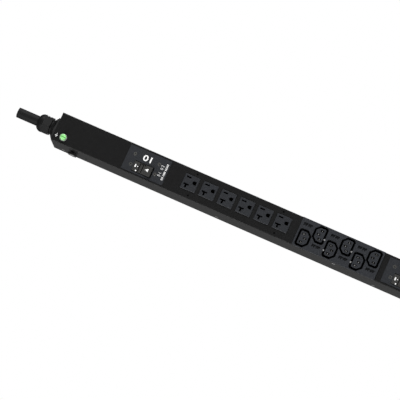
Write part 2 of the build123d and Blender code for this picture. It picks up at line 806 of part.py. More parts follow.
    with BuildPart() as outlet_clips:
        with BuildSketch(Plane.XZ.offset(outlet_back)):
            for station in outlet_stations:
                with Locations((outlet_x + blade_x, blade_z - (start + station))):
                    for hand, long_side in ((1, blade_slot_length), (-1, tee_bar_length)):
                        with Locations((hand * blade_spacing / 2, 0)):
                            Rectangle(blade_slot_width - 2 * clip_gap, long_side - 2 * clip_gap)
                            Rectangle(
                                blade_slot_width - 2 * (clip_gap + clip_gauge),
                                long_side - 2 * (clip_gap + clip_gauge),
                                mode=Mode.SUBTRACT,
                            )
                with Locations((outlet_x + blade_x, blade_z - earth_drop - (start + station))):
                    Rectangle(earth_clip, earth_clip)
                    Rectangle(earth_clip - 2 * clip_gauge, earth_clip - 2 * clip_gauge, mode=Mode.SUBTRACT)
        extrude(amount=outlet_depth + sheet - clip_set_back)
    outlet_clips.part.label = f"outlet_clips_{bank}"
    export_step(outlet_clips.part, f"parts/outlet_clips_{bank}.step")

    with BuildPart() as coupler_block:
        with BuildSketch(Plane.XZ.offset(depth)):
            with Locations((0, -(start + block_middle))):
                Rectangle(width, block_length)
        extrude(amount=block_proud)
        chamfer(coupler_block.edges().group_by(Axis.Y)[0], block_edge)
        with BuildSketch(Plane.XZ.offset(depth)):
            with Locations((0, -(start + block_middle))):
                Rectangle(2 * (inside - slip), block_body)
        extrude(amount=-block_depth)
        with BuildSketch(Plane.XZ.offset(depth + block_proud)):
            for x, z, turn in coupler_places(start):
                with Locations((x, z)):
                    add(well_outline.sketch, rotation=turn)
                    add(island_outline.sketch, rotation=turn, mode=Mode.SUBTRACT)
            with Locations(*rivet_places(start)):
                Circle(rivet_boss, mode=Mode.SUBTRACT)
        extrude(amount=-groove_depth, mode=Mode.SUBTRACT)
        with BuildSketch(Plane.XZ.offset(depth + block_proud)):
            for x, z, turn in coupler_places(start):
                with Locations((x, z)):
                    add(slot_pattern.sketch, rotation=turn)
        extrude(amount=-2 * block_depth, mode=Mode.SUBTRACT)
        with Locations(Plane.XZ.offset(depth + block_proud)):
            with Locations(*rivet_places(start)):
                CounterBoreHole(rivet_radius + slip, rivet_well, rivet_sink)
        for hand in (-1, 1):
            with Locations(side_plane(hand, inside)):
                with Locations((-hand * block_screw_level, -(start + block_start + block_screw_drop))):
                    Hole(screw_bore, depth=block_screw_reach - sheet + slip)
    coupler_block.part.label = f"coupler_block_{bank}"
    export_step(coupler_block.part, f"parts/coupler_block_{bank}.step")

    with BuildPart() as coupler_back:
        with BuildSketch(Plane.XZ.offset(block_rear)):
            with Locations((0, -(start + block_middle))):
                Rectangle(2 * (inside - slip), block_body)
            with Locations(*rivet_places(start)):
                Circle(rivet_radius + slip, mode=Mode.SUBTRACT)
        extrude(amount=-block_back)
    coupler_back.part.label = f"coupler_back_{bank}"
    export_step(coupler_back.part, f"parts/coupler_back_{bank}.step")

    with BuildPart() as coupler_clips:
        with BuildSketch(Plane.XZ.offset(block_rear)):
            for x, z, turn in coupler_places(start):
                with Locations((x, z)):
                    add(clip_pattern.sketch, rotation=turn)
        extrude(amount=block_depth + block_proud - coupler_clip_set_back)
    coupler_clips.part.label = f"coupler_clips_{bank}"
    export_step(coupler_clips.part, f"parts/coupler_clips_{bank}.step")

# Screws that hold each breaker to its plate
with BuildPart() as breaker_screws:
    with Locations(Plane.XZ.offset(depth + plate_proud)):
        for start in bank_stations:
            with Locations((0, -(start + breaker_middle))):
                with GridLocations(breaker_pole_pitch, breaker_screw_spread, 2, 2):
                    Cylinder(screw_radius, breaker_screw_reach, align=downward)
                    Cone(screw_radius, screw_head, screw_head - screw_radius, align=downward)
breaker_screws.part.label = "breaker_screws"
export_step(breaker_screws.part, "parts/breaker_screws.step")

# Screws through the sides into each coupler block
with BuildPart() as block_screws:
    for hand in (-1, 1):
        with Locations(side_plane(hand, width / 2)):
            with Locations(*[(-hand * block_screw_level, -station) for station in block_screw_stations]):
                Cylinder(screw_radius, block_screw_reach, align=downward)
                Cone(screw_radius, screw_head, screw_head - screw_radius, align=downward)
block_screws.part.label = "block_screws"
export_step(block_screws.part, "parts/block_screws.step")

# Standoffs pressed into the face, and the screws that hold the boards to them
with BuildPart() as board_standoffs:
    for start in bank_stations:
        with BuildSketch(Plane.XZ.offset(depth - sheet)):
            with Locations((0, -(start + board_centre))):
                with GridLocations(standoff_pitch_x, standoff_pitch_z, 2, 2):
                    Circle(standoff_radius)
        extrude(amount=-outlet_depth)
        with BuildSketch(Plane.XZ.offset(depth - sheet)):
            with Locations((0, -(start + board_centre))):
                with GridLocations(standoff_pitch_x, standoff_pitch_z, 2, 2):
                    Circle(standoff_stub)
        extrude(amount=sheet - standoff_sink)
        with BuildSketch(Plane.XZ.offset(outlet_back)):
            with Locations((0, -(start + board_centre))):
                with GridLocations(standoff_pitch_x, standoff_pitch_z, 2, 2):
                    Circle(board_screw_radius + slip / 2)
        extrude(amount=board_screw_reach, mode=Mode.SUBTRACT)
board_standoffs.part.label = "board_standoffs"
export_step(board_standoffs.part, "parts/board_standoffs.step")

with BuildPart() as board_screws:
    for start in bank_stations:
        with BuildSketch(Plane.XZ.offset(outlet_back - board_thickness)):
            with Locations((0, -(start + board_centre))):
                with GridLocations(standoff_pitch_x, standoff_pitch_z, 2, 2):
                    Circle(board_screw_head)
        extrude(amount=-board_screw_head_height)
        with BuildSketch(Plane.XZ.offset(outlet_back - board_thickness)):
            with Locations((0, -(start + board_centre))):
                with GridLocations(standoff_pitch_x, standoff_pitch_z, 2, 2):
                    Circle(board_screw_radius)
        extrude(amount=board_thickness + board_screw_reach)
board_screws.part.label = "board_screws"
export_step(board_screws.part, "parts/board_screws.step")

# Rivets that clamp each coupler block to its back
with BuildPart() as coupler_rivets:
    for start in bank_stations:
        with BuildSketch(Plane.XZ.offset(depth + block_proud - rivet_sink)):
            with Locations(*rivet_places(start)):
                Circle(rivet_head)
        extrude(amount=rivet_head_height)
        with BuildSketch(Plane.XZ.offset(depth + block_proud - rivet_sink)):
            with Locations(*rivet_places(start)):
                Circle(rivet_radius)
        extrude(amount=block_rear - block_back - (depth + block_proud - rivet_sink))
        with BuildSketch(Plane.XZ.offset(block_rear - block_back)):
            with Locations(*rivet_places(start)):
                Circle(rivet_head)
        extrude(amount=-rivet_head_height)
coupler_rivets.part.label = "coupler_rivets"
export_step(coupler_rivets.part, "parts/coupler_rivets.step")

# Taped loom from the terminal block down the back, with a branch to each breaker, board and block
loom_end = bank_stations[-1] + block_middle
with BuildPart() as wiring_loom:
    with BuildSketch(Plane.XY.offset(-(terminal_top + terminal_length))):
        with Locations((0, -loom_set_in)):
            Circle(loom_radius)
    extrude(amount=terminal_top + terminal_length - loom_end - loom_radius)
    for start in bank_stations:
        for station, back in (
            (breaker_middle, case_rear),
            (board_centre + outlet_pitch / 2, outlet_back - board_thickness),
            (block_middle, block_rear - block_back),
        ):
            with BuildSketch(Plane.XZ.offset(loom_set_in)):
                with Locations((0, -(start + station))):
                    Circle(branch_radius)
            extrude(amount=back - loom_set_in)
wiring_loom.part.label = "wiring_loom"
export_step(wiring_loom.part, "parts/wiring_loom.step")

with BuildPart() as loom_clips:
    for station in clip_stations:
        with BuildSketch(Plane.XY.offset(-station + clip_width / 2)):
            with Locations((0, -loom_set_in)):
                Circle(loom_radius + clip_band)
            with Locations((0, -sheet - clip_band / 2)):
                Rectangle(clip_foot, clip_band)
            with Locations((0, -loom_set_in)):
                Circle(loom_radius, mode=Mode.SUBTRACT)
        extrude(amount=-clip_width)
loom_clips.part.label = "loom_clips"
export_step(loom_clips.part, "parts/loom_clips.step")
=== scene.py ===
import bpy
import bmesh
import json
import math
import random
from mathutils import Matrix, Vector


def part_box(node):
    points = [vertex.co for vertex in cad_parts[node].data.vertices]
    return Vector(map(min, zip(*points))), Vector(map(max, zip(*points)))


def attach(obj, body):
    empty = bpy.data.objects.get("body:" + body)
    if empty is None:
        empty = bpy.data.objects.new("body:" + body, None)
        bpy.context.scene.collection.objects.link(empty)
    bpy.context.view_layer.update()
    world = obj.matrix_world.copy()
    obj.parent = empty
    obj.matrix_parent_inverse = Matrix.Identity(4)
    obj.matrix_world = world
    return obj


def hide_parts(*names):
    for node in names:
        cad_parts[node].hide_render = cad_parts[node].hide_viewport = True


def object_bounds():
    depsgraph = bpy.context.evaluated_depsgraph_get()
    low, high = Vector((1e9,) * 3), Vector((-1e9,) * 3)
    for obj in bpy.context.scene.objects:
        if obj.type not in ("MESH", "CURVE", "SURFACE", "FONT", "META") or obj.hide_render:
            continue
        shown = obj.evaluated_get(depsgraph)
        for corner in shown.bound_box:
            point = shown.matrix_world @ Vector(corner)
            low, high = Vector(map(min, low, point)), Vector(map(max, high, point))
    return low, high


# Rack power strip, hung upright: the cord end is up and the outlets face -Y.
# Sizes in the settings are millimetres, except in the studio.
print("loading the packed frame")
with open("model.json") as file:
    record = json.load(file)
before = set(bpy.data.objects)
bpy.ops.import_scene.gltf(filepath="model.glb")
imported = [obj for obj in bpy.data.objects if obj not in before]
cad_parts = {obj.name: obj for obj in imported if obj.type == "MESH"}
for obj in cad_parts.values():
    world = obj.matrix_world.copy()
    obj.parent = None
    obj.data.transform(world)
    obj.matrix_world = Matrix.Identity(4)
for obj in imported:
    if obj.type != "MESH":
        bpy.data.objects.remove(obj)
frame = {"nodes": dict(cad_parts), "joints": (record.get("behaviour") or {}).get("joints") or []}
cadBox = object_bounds()
nodes = frame["nodes"]
mm = 0.001
weld = 1e-6  # metres: points of a CAD mesh that lie closer than this are one point
front = (0, -1, 0)  # the way the outlets face
housing = "housing"
random.seed(27)


def boxOf(node):  # lowest and highest corner of a CAD node, in millimetres
    low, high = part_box(node)
    return low / mm, high / mm


def middleOf(node):
    low, high = boxOf(node)
    return (low + high) / 2


# Finishes

def startFinish(name, colour, roughness, metallic=0.0, **sockets):
    finish = bpy.data.materials.new(name)
    finish.use_nodes = True
    tree = finish.node_tree
    shader = tree.nodes["Principled BSDF"]
    shader.inputs["Base Color"].default_value = (*colour, 1)
    shader.inputs["Roughness"].default_value = roughness
    shader.inputs["Metallic"].default_value = metallic
    for key, value in sockets.items():
        shader.inputs[key.replace("_", " ")].default_value = value
    finish.diffuse_color = (*colour, 1)
    return finish, tree, shader


def addNode(tree, kind, wires=None, **settings):
    node = tree.nodes.new(kind)
    for key, value in settings.items():
        setattr(node, key, value)
    for key, value in (wires or {}).items():
        if isinstance(value, bpy.types.NodeSocket):
            tree.links.new(value, node.inputs[key])
        else:
            node.inputs[key].default_value = value
    return node


def partSpace(tree, stretch=(1, 1, 1)):  # object coordinates in metres, stretched for drawn lines
    place = addNode(tree, "ShaderNodeTexCoord").outputs["Object"]
    return addNode(tree, "ShaderNodeMapping", {"Vector": place, "Scale": stretch}).outputs["Vector"]


def cloud(tree, space, size, detail=3.0):  # soft noise whose features are about size millimetres wide
    noise = addNode(tree, "ShaderNodeTexNoise", {"Vector": space, "Scale": 1 / (size * mm), "Detail": detail})
    return noise.outputs["Fac"]


def pimple(tree, space, size):  # rounded cells, as powder coat and grained plastic have
    cells = addNode(tree, "ShaderNodeTexVoronoi", {"Vector": space, "Scale": 1 / (size * mm)},
                    feature="SMOOTH_F1")
    return cells.outputs["Distance"]


def colourFrom(tree, shader, amount, dark, light, low=0.35, high=0.65):
    ramp = addNode(tree, "ShaderNodeValToRGB", {"Fac": amount})
    ramp.color_ramp.elements[0].position = low
    ramp.color_ramp.elements[0].color = (*dark, 1)
    ramp.color_ramp.elements[1].position = high
    ramp.color_ramp.elements[1].color = (*light, 1)
    tree.links.new(ramp.outputs["Color"], shader.inputs["Base Color"])
    return ramp.outputs["Color"]


def blendColours(tree, share, first, second):  # each colour is a socket or three numbers
    mix = addNode(tree, "ShaderNodeMix", {0: share}, data_type="RGBA")
    for socket, colour in ((mix.inputs[6], first), (mix.inputs[7], second)):
        if isinstance(colour, bpy.types.NodeSocket):
            tree.links.new(colour, socket)
        else:
            socket.default_value = (*colour, 1)
    return mix.outputs[2]


def roughnessFrom(tree, shader, amount, low, high):
    spread = addNode(tree, "ShaderNodeMapRange", {"Value": amount, "From Min": 0.3, "From Max": 0.7,
                                                  "To Min": low, "To Max": high})
    tree.links.new(spread.outputs["Result"], shader.inputs["Roughness"])


def reliefFrom(tree, shader, heights):  # heights: pairs of a texture and its depth in millimetres
    below = None
    for amount, depth in heights:
        wires = {"Height": amount, "Distance": depth * mm, "Strength": 1.0}
        if below:
            wires["Normal"] = below
        below = addNode(tree, "ShaderNodeBump", wires).outputs["Normal"]
    tree.links.new(below, shader.inputs["Normal"])


def shade(colour, share):
    return tuple(channel * share for channel in colour)


def powderCoat():  # fine textured black powder coat of the folded housing
    colour = (0.0078, 0.0078, 0.0079)
    finish, tree, shader = startFinish("powderCoat", colour, 0.44, Specular_IOR_Level=0.18)
    space = partSpace(tree)
    colourFrom(tree, shader, cloud(tree, space, 6.0, 5.0), shade(colour, 0.95), shade(colour, 1.05))
    roughnessFrom(tree, shader, cloud(tree, space, 2.5), 0.42, 0.46)
    reliefFrom(tree, shader, ((pimple(tree, space, 0.5), 0.004), (cloud(tree, space, 3.0), 0.004)))
    return finish


def platePaint():  # satin blue grey paint of the breaker plates
    colour = (0.0168, 0.0185, 0.0220)
    finish, tree, shader = startFinish("platePaint", colour, 0.48, Specular_IOR_Level=0.32)
    space = partSpace(tree)
    colourFrom(tree, shader, cloud(tree, space, 8.0, 5.0), shade(colour, 0.96), shade(colour, 1.04))
    roughnessFrom(tree, shader, cloud(tree, space, 1.8), 0.46, 0.52)
    reliefFrom(tree, shader, ((pimple(tree, space, 0.35), 0.003), (cloud(tree, space, 2.2), 0.004)))
    return finish


# paintedShadeFrom is the face's y. From fade's first to its second depth below it, in millimetres, the colour
# darkens to a fifth as painted shade.
def mouldedPlastic(name, colour, grain=0.4, roughness=(0.46, 0.58), depth=0.01, gloss=0.34, paintedShadeFrom=None,
                   fade=(0.4, 2.5)):
    finish, tree, shader = startFinish(name, colour, roughness[0], Specular_IOR_Level=gloss)
    space = partSpace(tree)
    flow = cloud(tree, partSpace(tree, (1, 1, 0.35)), 9.0, 4.0)  # melt flow shows as a faint long mottle
    face = colourFrom(tree, shader, flow, shade(colour, 0.97), shade(colour, 1.03))
    if paintedShadeFrom is not None:  # painted shade: slots and wells darken with depth below the face, as shade falls in them
        inward = addNode(tree, "ShaderNodeSeparateXYZ", {"Vector": space}).outputs["Y"]
        paintedShadeDepth = addNode(tree, "ShaderNodeMapRange", {"Value": inward, "From Min": (paintedShadeFrom + fade[0]) * mm,
                                                    "From Max": (paintedShadeFrom + fade[1]) * mm})
        paintedShadeColour = blendColours(tree, paintedShadeDepth.outputs["Result"], face, shade(colour, 0.2))
        tree.links.new(paintedShadeColour, shader.inputs["Base Color"])
    roughnessFrom(tree, shader, cloud(tree, space, 1.2), *roughness)
    reliefFrom(tree, shader, ((pimple(tree, space, grain), depth), (cloud(tree, space, 5.0), depth)))
    return finish


def cordJacket():  # rubber jacket with the fine lines that the extruder leaves along it
    colour = (0.0075, 0.0075, 0.0077)
    finish, tree, shader = startFinish("cordJacket", colour, 0.65, Specular_IOR_Level=0.14)
    lines = cloud(tree, partSpace(tree, (1, 1, 0.02)), 0.5, 2.0)
    space = partSpace(tree)
    colourFrom(tree, shader, cloud(tree, space, 4.0, 5.0), shade(colour, 0.95), shade(colour, 1.05))
    roughnessFrom(tree, shader, lines, 0.6, 0.7)
    reliefFrom(tree, shader, ((lines, 0.006), (cloud(tree, space, 0.8), 0.003)))
    return finish


def softRubber():
    colour = (0.012, 0.012, 0.012)
    finish, tree, shader = startFinish("softRubber", colour, 0.75, Specular_IOR_Level=0.3)
    space = partSpace(tree)
    colourFrom(tree, shader, cloud(tree, space, 2.0), shade(colour, 0.8), shade(colour, 1.2))
    reliefFrom(tree, shader, ((cloud(tree, space, 0.6), 0.015),))
    return finish


def zincPlate():  # bright zinc with a cloudy bloom
    colour = (0.60, 0.61, 0.60)
    finish, tree, shader = startFinish("zincPlate", colour, 0.32, 1.0)
    space = partSpace(tree)
    colourFrom(tree, shader, cloud(tree, space, 1.5, 5.0), shade(colour, 0.85), shade(colour, 1.1))
    roughnessFrom(tree, shader, cloud(tree, space, 0.5), 0.24, 0.42)
    reliefFrom(tree, shader, ((cloud(tree, space, 0.25), 0.004),))
    return finish


def warmNickel():  # dull warm grey plating of the breaker's screws
    colour = (0.118, 0.117, 0.112)
    finish, tree, shader = startFinish("warmNickel", colour, 0.42, 0.75)
    space = partSpace(tree)
    colourFrom(tree, shader, cloud(tree, space, 0.8, 4.0), shade(colour, 0.8), shade(colour, 1.2))
    roughnessFrom(tree, shader, cloud(tree, space, 0.4), 0.34, 0.5)
    reliefFrom(tree, shader, ((cloud(tree, space, 0.2), 0.004),))
    return finish


def satinZinc(name, colour, metallic):  # zinc and tin dulled by handling
    finish, tree, shader = startFinish(name, colour, 0.48, metallic)
    space = partSpace(tree)
    colourFrom(tree, shader, cloud(tree, space, 0.8, 4.0), shade(colour, 0.85), shade(colour, 1.1))
    roughnessFrom(tree, shader, cloud(tree, space, 0.4), 0.42, 0.56)
    reliefFrom(tree, shader, ((cloud(tree, space, 0.2), 0.004),))
    return finish


def blackSteel():  # blackened steel, slightly browner where it is rubbed
    colour, rubbed = (0.013, 0.013, 0.013), (0.020, 0.0192, 0.0185)
    finish, tree, shader = startFinish("blackSteel", colour, 0.4, 0.35)
    space = partSpace(tree)
    colourFrom(tree, shader, cloud(tree, space, 1.6, 5.0), shade(colour, 0.75), rubbed)
    roughnessFrom(tree, shader, cloud(tree, space, 0.7), 0.32, 0.5)
    reliefFrom(tree, shader, ((cloud(tree, space, 0.3), 0.005),))
    return finish


def greenEnamel():  # paint of the earth screw, a little darker where it is thin
    colour = (0.33, 0.80, 0.29)
    finish, tree, shader = startFinish("greenEnamel", colour, 0.3, Coat_Weight=0.25, Coat_Roughness=0.15)
    space = partSpace(tree)
    colourFrom(tree, shader, cloud(tree, space, 1.4, 4.0), shade(colour, 0.88), shade(colour, 1.04))
    roughnessFrom(tree, shader, cloud(tree, space, 0.6), 0.26, 0.38)
    reliefFrom(tree, shader, ((cloud(tree, space, 0.7), 0.012),))
    return finish


def whiteInk():  # screen printed white, with the ink's slight unevenness
    colour = (0.93, 0.93, 0.92)
    finish, tree, shader = startFinish("whiteInk", colour, 0.5, Specular_IOR_Level=0.4)
    space = partSpace(tree)
    colourFrom(tree, shader, cloud(tree, space, 0.5, 4.0), shade(colour, 0.95), colour)
    reliefFrom(tree, shader, ((cloud(tree, space, 0.2), 0.003),))
    return finish


def markAndShadeBlack():  # near black of the dark marks and punched heads, also used as painted shade along the rocker's grooves and round the coupler wells
    colour = (0.0012, 0.0013, 0.0014)
    finish, tree, shader = startFinish("markAndShadeBlack", colour, 0.8, Specular_IOR_Level=0.08)
    space = partSpace(tree)
    colourFrom(tree, shader, cloud(tree, space, 0.4), shade(colour, 0.8), shade(colour, 1.25))
    reliefFrom(tree, shader, ((cloud(tree, space, 0.3), 0.006),))
    return finish


def bareCopper():
    colour = (0.86, 0.40, 0.24)
    finish, tree, shader = startFinish("bareCopper", colour, 0.3, 1.0)
    space = partSpace(tree)
    colourFrom(tree, shader, cloud(tree, space, 0.6, 5.0), (0.62, 0.26, 0.15), colour)
    roughnessFrom(tree, shader, cloud(tree, space, 0.3), 0.22, 0.4)
    reliefFrom(tree, shader, ((cloud(tree, partSpace(tree, (1, 1, 0.05)), 0.1), 0.003),))
    return finish


def shadedSpringMetal():  # spring strip of the contacts, given a dark colour as painted shade for their depth in the slots
    colour = (0.042, 0.037, 0.026)
    finish, tree, shader = startFinish("shadedSpringMetal", colour, 0.25, 1.0)
    space = partSpace(tree)
    lines = cloud(tree, partSpace(tree, (1, 0.05, 1)), 0.2)
    colourFrom(tree, shader, cloud(tree, space, 1.2, 5.0), shade(colour, 0.7), colour)
    roughnessFrom(tree, shader, lines, 0.35, 0.5)
    reliefFrom(tree, shader, ((lines, 0.004),))
    return finish


def solderMask():  # green board with faint copper tracks under the mask
    colour, patch, track = (0.012, 0.085, 0.03), (0.015, 0.1, 0.036), (0.03, 0.15, 0.06)
    finish, tree, shader = startFinish("solderMask", colour, 0.35)
    space = partSpace(tree)
    tracks = addNode(tree, "ShaderNodeTexBrick", {
        "Vector": partSpace(tree, (1, 1, 0.6)), "Scale": 1 / (9 * mm), "Mortar Size": 0.05,
        "Color1": (*colour, 1), "Color2": (*patch, 1), "Mortar": (*track, 1)})
    tree.links.new(tracks.outputs["Color"], shader.inputs["Base Color"])
    roughnessFrom(tree, shader, cloud(tree, space, 2.0), 0.3, 0.45)
    reliefFrom(tree, shader, ((tracks.outputs["Fac"], 0.02),))
    return finish


def woundTape():  # overlapping turns of tape around the loom
    colour = (0.013, 0.013, 0.014)
    finish, tree, shader = startFinish("woundTape", colour, 0.45)
    turns = addNode(tree, "ShaderNodeTexWave", {
        "Vector": partSpace(tree, (0.3, 0.3, 1)), "Scale": 1 / (60 * mm), "Distortion": 1.5},
        bands_direction="Z", wave_profile="SAW").outputs["Fac"]
    colourFrom(tree, shader, turns, shade(colour, 0.7), shade(colour, 1.3))
    reliefFrom(tree, shader, ((turns, 0.15),))
    return finish


def naturalNylon():  # pale uncoloured nylon of the terminal block and the loom's clips
    colour = (0.66, 0.64, 0.56)
    finish, tree, shader = startFinish("naturalNylon", colour, 0.45, Subsurface_Weight=0.05)
    space = partSpace(tree)
    colourFrom(tree, shader, cloud(tree, space, 7.0, 4.0), shade(colour, 0.93), shade(colour, 1.04))
    roughnessFrom(tree, shader, cloud(tree, space, 1.0), 0.4, 0.52)
    reliefFrom(tree, shader, ((cloud(tree, space, 0.5), 0.008),))
    return finish


def coreColours():  # each core has its own colour, told apart by the side of the cord's axis that it lies on
    black, white, red, green = (0.02, 0.02, 0.02), (0.8, 0.8, 0.78), (0.5, 0.03, 0.02), (0.04, 0.32, 0.06)
    finish, tree, shader = startFinish("coreColours", white, 0.35, Specular_IOR_Level=0.45)
    axis = middleOf("cord_sheath") * mm
    apart = addNode(tree, "ShaderNodeSeparateXYZ", {"Vector": partSpace(tree)})
    sides = []
    for letter, line in (("X", axis.x), ("Y", axis.y)):
        side = addNode(tree, "ShaderNodeMath", {0: apart.outputs[letter], 1: line}, operation="GREATER_THAN")
        sides.append(side.outputs["Value"])
    pairs = [blendColours(tree, sides[0], low, high) for low, high in ((black, white), (red, green))]
    tree.links.new(blendColours(tree, sides[1], *pairs), shader.inputs["Base Color"])
    roughnessFrom(tree, shader, cloud(tree, partSpace(tree, (1, 1, 0.1)), 0.6), 0.3, 0.42)
    reliefFrom(tree, shader, ((cloud(tree, partSpace(tree, (1, 1, 0.05)), 0.4), 0.01),))
    return finish


print("mixing the finishes")
# Each mark is x and y from the line where the rocker's halves meet, then its sizes. The bend is in degrees.
rockerMark = {"bend": 11.0, "valley": 0.776, "face": 58.263, "bar": (0.9, 12.6, 5.0, 2.0), "barCorner": 0.3,
              "dot": (0.9, 8.6, 1.6), "lamp": (-6.5, 9.1, 2.4), "roundness": 0.45,
              "arrow": (0.9, -4.6, -10.3, 2.9)}
coat = powderCoat()
paint = platePaint()
# Painted shade darkens the outlets' slots, the couplers' slots and wells, and the rocker's grooves and sides
# below each face.
outletPlastic = mouldedPlastic("outletPlastic", (0.0156, 0.0172, 0.0207), depth=0.002,
                               paintedShadeFrom=boxOf("outlet_01")[0].y)
couplerPlastic = mouldedPlastic("couplerPlastic", (0.0176, 0.0194, 0.0235), depth=0.002,
                                paintedShadeFrom=boxOf("coupler_block_1")[0].y, fade=(0.1, 1.1))
rockerPlastic = mouldedPlastic("rockerPlastic", (0.0296, 0.0292, 0.0277), 0.3, depth=0.003,
                               paintedShadeFrom=-rockerMark["face"], fade=(0.12, 0.6))
casePlastic = mouldedPlastic("casePlastic", (0.009, 0.009, 0.0095), 0.5, (0.5, 0.65))
glandNylon = mouldedPlastic("glandNylon", (0.0053, 0.0053, 0.0055), 0.6, (0.52, 0.64), 0.004, gloss=0.12)
# Painted light: the gland's hub is the nut's nylon made lighter, where the nut shades it.
hubNylonPaintedLight = mouldedPlastic("hubNylonPaintedLight", (0.0092, 0.0092, 0.0094), 0.6, (0.52, 0.64), 0.004, gloss=0.12)
jacket = cordJacket()
rubber = softRubber()
zinc = zincPlate()
nickel = warmNickel()
dullZinc = satinZinc("dullZinc", (0.34, 0.34, 0.33), 0.9)
paleZinc = satinZinc("paleZinc", (0.30, 0.30, 0.295), 0.3)
dullTin = satinZinc("dullTin", (0.34, 0.34, 0.33), 0.3)
steel = blackSteel()
enamel = greenEnamel()
ink = whiteInk()
markAndPaintedShade = markAndShadeBlack()
copper = bareCopper()
# The contacts' finish is darkened with painted shade.
contact = shadedSpringMetal()
board = solderMask()
tape = woundTape()
nylon = naturalNylon()
cores = coreColours()

formAngle, markAngle = 32, 60  # degrees: a steeper edge than this stays sharp


def dress(finish, *names):
    for name in names:
        obj = nodes[name]
        obj.data.materials.clear()
        obj.data.materials.append(finish)
        obj.data.shade_smooth()
        obj.data.set_sharp_from_angle(angle=math.radians(formAngle))


print("dressing the frame")
banks = sorted(int(name.rsplit("_", 1)[1]) for name in nodes if name.startswith("breaker_plate_"))
dress(coat, "front_channel", "rear_cover", "inlet_end_plate", "tail_end_plate")
dress(steel, "mounting_button_upper", "mounting_button_lower")
dress(markAndPaintedShade, "board_standoffs")
dress(zinc, "button_nuts", "bracket_inserts", "terminal_screws", "earth_nut", "board_screws")
dress(glandNylon, "gland_cap_nut", "gland_lock_nut")
dress(hubNylonPaintedLight, "gland_body")
dress(rubber, "gland_seal")
dress(jacket, "cord_sheath")
dress(cores, "cord_cores")
dress(copper, "cord_conductors")
dress(nylon, "terminal_block", "loom_clips")
dress(enamel, "earth_screw")
dress(nickel, "breaker_screws")
dress(dullZinc, "cover_screws")
dress(paleZinc, "coupler_rivets", "block_screws", "button_screws", "earth_washer")
dress(tape, "wiring_loom")
dress(outletPlastic, *[name for name in nodes if name.startswith("outlet_") and name[-2:].isdigit()])
for bank in banks:
    dress(paint, f"breaker_plate_{bank}")
    dress(casePlastic, f"breaker_case_{bank}")
    dress(zinc, f"breaker_pivot_{bank}")
    dress(rockerPlastic, f"breaker_rocker_{bank}")
    dress(board, f"outlet_board_{bank}")
    dress(contact, f"outlet_clips_{bank}", f"coupler_clips_{bank}")
    dress(couplerPlastic, f"coupler_block_{bank}", f"coupler_back_{bank}")


# Mesh helpers: everything is drawn in millimetres and scaled to metres when the piece is made

def makePiece(name, shape, finish, body=housing, standsFor=(), sharp=formAngle):
    mesh = bpy.data.meshes.new(name)
    bmesh.ops.recalc_face_normals(shape, faces=shape.faces)
    shape.to_mesh(mesh)
    shape.free()
    mesh.transform(Matrix.Scale(mm, 4))
    mesh.materials.append(finish)
    mesh.shade_smooth()
    mesh.set_sharp_from_angle(angle=math.radians(sharp))
    piece = bpy.data.objects.new(name, mesh)
    bpy.context.scene.collection.objects.link(piece)
    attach(piece, body)
    if standsFor:
        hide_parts(*standsFor)


def facing(place, outward, up):  # matrix whose Z points outward and whose Y points up, standing at place
    outward, up = Vector(outward).normalized(), Vector(up).normalized()
    across = up.cross(outward).normalized()
    turn = Matrix((across, outward.cross(across), outward)).transposed().to_4x4()
    return Matrix.Translation(Vector(place)) @ turn


def ringOf(shape, stand, radiusAt, height, count):
    ring = []
    for n in range(count):
        angle = math.tau * n / count
        radius = radiusAt(angle)
        x, y = radius * math.cos(angle), radius * math.sin(angle)
        ring.append(shape.verts.new(stand @ Vector((x, y, height))))
    return ring


def skin(shape, rings, closed=True):  # faces from each ring to the next, and over both ends
    for before, after in zip(rings, rings[1:]):
        for n in range(len(before)):
            m = (n + 1) % len(before)
            shape.faces.new((before[n], before[m], after[m], after[n]))
    if closed:
        shape.faces.new(rings[0])
        shape.faces.new(rings[-1])


def slabFrom(shape, stand, outline, bottom, top):  # flat plate from an outline
    rings = []
    for height in (bottom, top):
        rings.append([shape.verts.new(stand @ Vector((x, y, height))) for x, y in outline])
    skin(shape, rings)


def roundedBox(width, height, corner, steps):
    points = []
    for n, (sx, sy) in enumerate(((1, 1), (-1, 1), (-1, -1), (1, -1))):
        for k in range(steps + 1):
            angle = math.pi / 2 * (n + k / steps)
            points.append((sx * (width / 2 - corner) + corner * math.cos(angle),
                           sy * (height / 2 - corner) + corner * math.sin(angle)))
    return points


# Screws

# Shares of the recess's radius (floor, wall), of its depth (wallSink) and of the head's radius (landing)
screwForm = {"floor": 0.55, "wall": 0.85, "wallSink": 0.8, "landing": 0.62, "step": 0.01, "sides": 48}


def crossRecess(reach, arm):  # how far the edge of a cross lies from its centre at each angle
    def radiusAt(angle):
        bent = (angle + math.pi / 4) % (math.pi / 2) - math.pi / 4
        side = max(abs(math.sin(bent)), 1e-6)  # never quite nothing, as it divides
        return min(reach / math.cos(bent), arm / side)
    return radiusAt


def hexRecess(flat):
    def radiusAt(angle):
        bent = (angle + math.pi / 6) % (math.pi / 3) - math.pi / 6
        return flat / math.cos(bent)
    return radiusAt


